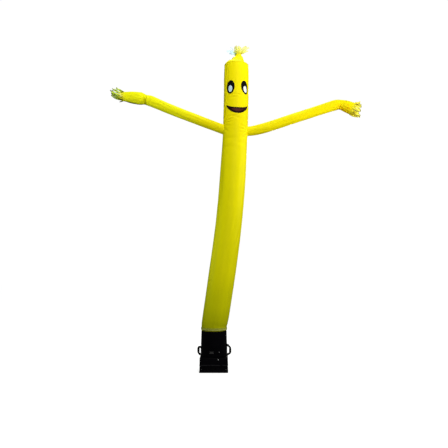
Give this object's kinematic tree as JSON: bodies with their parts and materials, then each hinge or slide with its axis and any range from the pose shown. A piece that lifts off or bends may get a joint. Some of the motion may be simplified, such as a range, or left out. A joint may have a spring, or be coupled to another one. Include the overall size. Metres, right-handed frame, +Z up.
{
  "type": "inflatable air dancer on its blower",
  "caption": "Tall air-filled cloth tube figure with sleeve arms, a smiling face and ribbon hair and fingers, strapped round the drum of a square-footed blower with carrying handles.",
  "frame": {"origin": "middle of the blower foot's underside, on the floor", "axes": "+Z up along the standing figure, -Y towards the face and the blower's front, +X towards the figure's lean and the arm on the viewer's right"},
  "size_m": [4.6901, 0.5234, 5.876],
  "materials": {
    "blower_black": "black moulded plastic, satin",
    "plate_grey": "plain dark grey plate",
    "bright_fitting": "light grey glossy moulding",
    "yellow_nylon": "thin bright yellow coated nylon, slightly translucent",
    "strap_webbing": "pale yellow woven webbing",
    "black_patch": "black cloth patch",
    "white_patch": "white cloth patch",
    "mouth_patch": "very dark red cloth patch",
    "tongue_patch": "dull red cloth patch"
  },
  "bodies": {
    "root": {"foot": "blower_black", "lower_housing": "blower_black", "drum": "blower_black", "left_handle": "blower_black", "right_handle": "blower_black", "left_handle_plate": "blower_black", "right_handle_plate": "blower_black", "rating_plate": "plate_grey", "fuse_cap": "bright_fitting", "cord_gland": "bright_fitting", "body_tube": "yellow_nylon", "crown": "yellow_nylon", "hair": "yellow_nylon", "left_arm": "yellow_nylon", "right_arm": "yellow_nylon", "left_fingers": "yellow_nylon", "right_fingers": "yellow_nylon", "hem_strap": "strap_webbing", "left_eye": "black_patch", "right_eye": "black_patch", "left_eye_white": "white_patch", "right_eye_white": "white_patch", "mouth": "mouth_patch", "tongue": "tongue_patch"}
  },
  "joints": []
}
